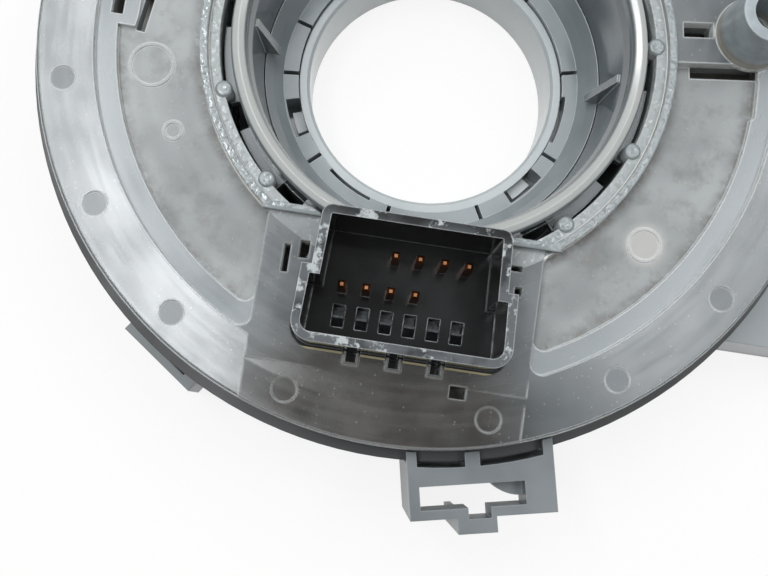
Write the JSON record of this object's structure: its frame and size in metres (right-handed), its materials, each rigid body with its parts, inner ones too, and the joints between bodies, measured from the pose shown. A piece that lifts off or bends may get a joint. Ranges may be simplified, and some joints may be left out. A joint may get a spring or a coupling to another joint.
{
  "type": "steering clock spring",
  "caption": "Rotary electrical connector for a steering column: a round housing with a turning face plate, hub and plug socket, and a flat cable wound inside.",
  "frame": {"origin": "on the axis of the bore, in the plane of the housing's back", "axes": "+Z along the bore towards the steering wheel; the wheel connector is on the -Y side; +X is to the right seen from the wheel"},
  "size_m": [0.116, 0.1118, 0.0325],
  "materials": {
    "rotor_plastic": "satin, slightly bluish black",
    "hub_plastic": "semi-gloss black",
    "sleeve_plastic": "satin grey",
    "connector_plastic": "satin black",
    "case_plastic": "satin dark grey",
    "housing_plastic": "satin mid grey",
    "block_plastic": "matt off-white",
    "slip_film": "milky film",
    "cable_film": "clear film over copper conductors",
    "contact_metal": "tinned copper alloy with bare tips",
    "spring_metal": "bright spring strip"
  },
  "bodies": {
    "stator": {"case_ring": "case_plastic", "base_housing": "housing_plastic", "column_connector": "housing_plastic", "column_pin_1": "contact_metal", "column_pin_2": "contact_metal", "column_pin_3": "contact_metal", "column_pin_4": "contact_metal", "column_pin_5": "contact_metal", "column_pin_6": "contact_metal", "column_pin_7": "contact_metal", "column_pin_8": "contact_metal", "outer_lead_block": "block_plastic", "lower_slip_sheet": "slip_film", "flat_cable": "cable_film"},
    "rotor": {"rotor_plate": "rotor_plastic", "rotor_hub": "hub_plastic", "retaining_ring": "hub_plastic", "bore_sleeve": "sleeve_plastic", "wheel_connector": "connector_plastic", "wheel_pin_1": "contact_metal", "wheel_pin_2": "contact_metal", "wheel_pin_3": "contact_metal", "wheel_pin_4": "contact_metal", "wheel_pin_5": "contact_metal", "wheel_pin_6": "contact_metal", "wheel_pin_7": "contact_metal", "wheel_pin_8": "contact_metal", "shorting_clip_1": "spring_metal", "shorting_clip_2": "spring_metal", "shorting_clip_3": "spring_metal", "inner_lead_block": "block_plastic", "upper_slip_sheet": "slip_film"}
  },
  "joints": [
    {"name": "rotor_turn", "type": "hinge", "parent": "stator", "child": "rotor", "pos_m": [0, 0, 0.0125], "axis": [0, 0, 1], "range_deg": [-900, 900], "deforming": ["flat_cable"]}
  ]
}
